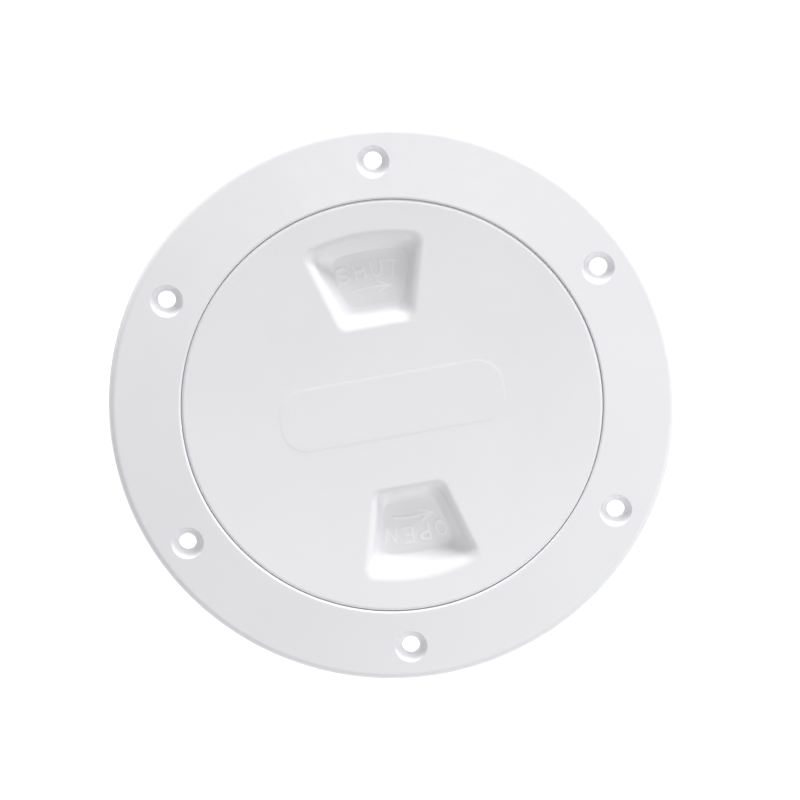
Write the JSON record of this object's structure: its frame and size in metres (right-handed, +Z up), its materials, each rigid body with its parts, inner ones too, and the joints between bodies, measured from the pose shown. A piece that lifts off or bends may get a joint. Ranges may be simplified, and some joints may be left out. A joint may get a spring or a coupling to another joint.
{
  "type": "deck hatch",
  "caption": "Round white screw-out deck hatch: countersunk mounting flange on a threaded collar, and a dished lid with two finger wells that unscrews to open.",
  "frame": {"origin": "on the hatch's axis, level with the collar's lower rim, which is the centre of the bottom of its box", "axes": "+Z up along the screw axis, out of the deck; +Y towards the screw hole nearest the word SHUT when the lid is shut"},
  "size_m": [0.1452, 0.1452, 0.0232],
  "materials": {
    "frame_plastic": "white moulded ASA, satin",
    "lid_plastic": "white moulded ASA, satin, fine grain",
    "seal_rubber": "black nitrile, dull"
  },
  "bodies": {
    "frame": {"frame": "frame_plastic"},
    "seal": {"o_ring": "seal_rubber"},
    "lid": {"lid": "lid_plastic"}
  },
  "joints": [
    {"name": "lid_lift", "type": "slide", "parent": "frame", "child": "seal", "axis": [0, 0, 1], "range_m": [0, 0.01]},
    {"name": "lid_turn", "type": "hinge", "parent": "seal", "child": "lid", "pos_m": [0, 0, 0.0201], "axis": [0, 0, 1], "range_deg": [0, 450]}
  ],
  "couplings": [
    {"joint": "lid_lift", "follows": "lid_turn", "m_per_rad": 0.0012732}
  ]
}
